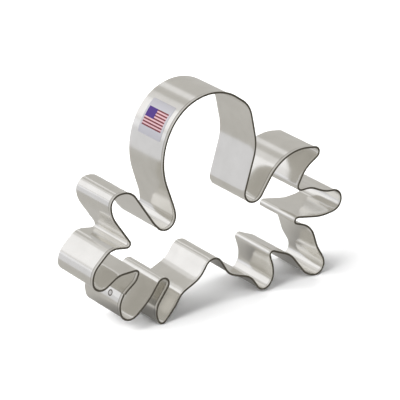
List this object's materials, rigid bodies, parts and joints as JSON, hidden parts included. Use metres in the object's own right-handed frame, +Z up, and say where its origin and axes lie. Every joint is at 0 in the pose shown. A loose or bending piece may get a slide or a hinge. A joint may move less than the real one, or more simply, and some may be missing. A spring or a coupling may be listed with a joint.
{
  "type": "cookie cutter",
  "caption": "Octopus-shaped cookie cutter: one tinned steel strip bent on edge, with a raw cutting edge, a folded safe rim and a spot-welded lap seam.",
  "frame": {"origin": "middle of the cutter's width and depth, at the height of the ground under the lowest leg tips", "axes": "+X to the right across the octopus as seen from the folded rim, +Y from the folded rim into the cutting edge, +Z up from the leg tips to the head"},
  "size_m": [0.1326, 0.0254, 0.0996],
  "materials": {
    "tinned_steel": "satin tin-plated sheet steel",
    "weld_steel": "dull pressed weld mark",
    "label_film": "thin silvery printed film"
  },
  "bodies": {
    "root": {"cutter_strip": "tinned_steel", "spot_welds": "weld_steel", "label_film": "label_film"}
  },
  "joints": []
}
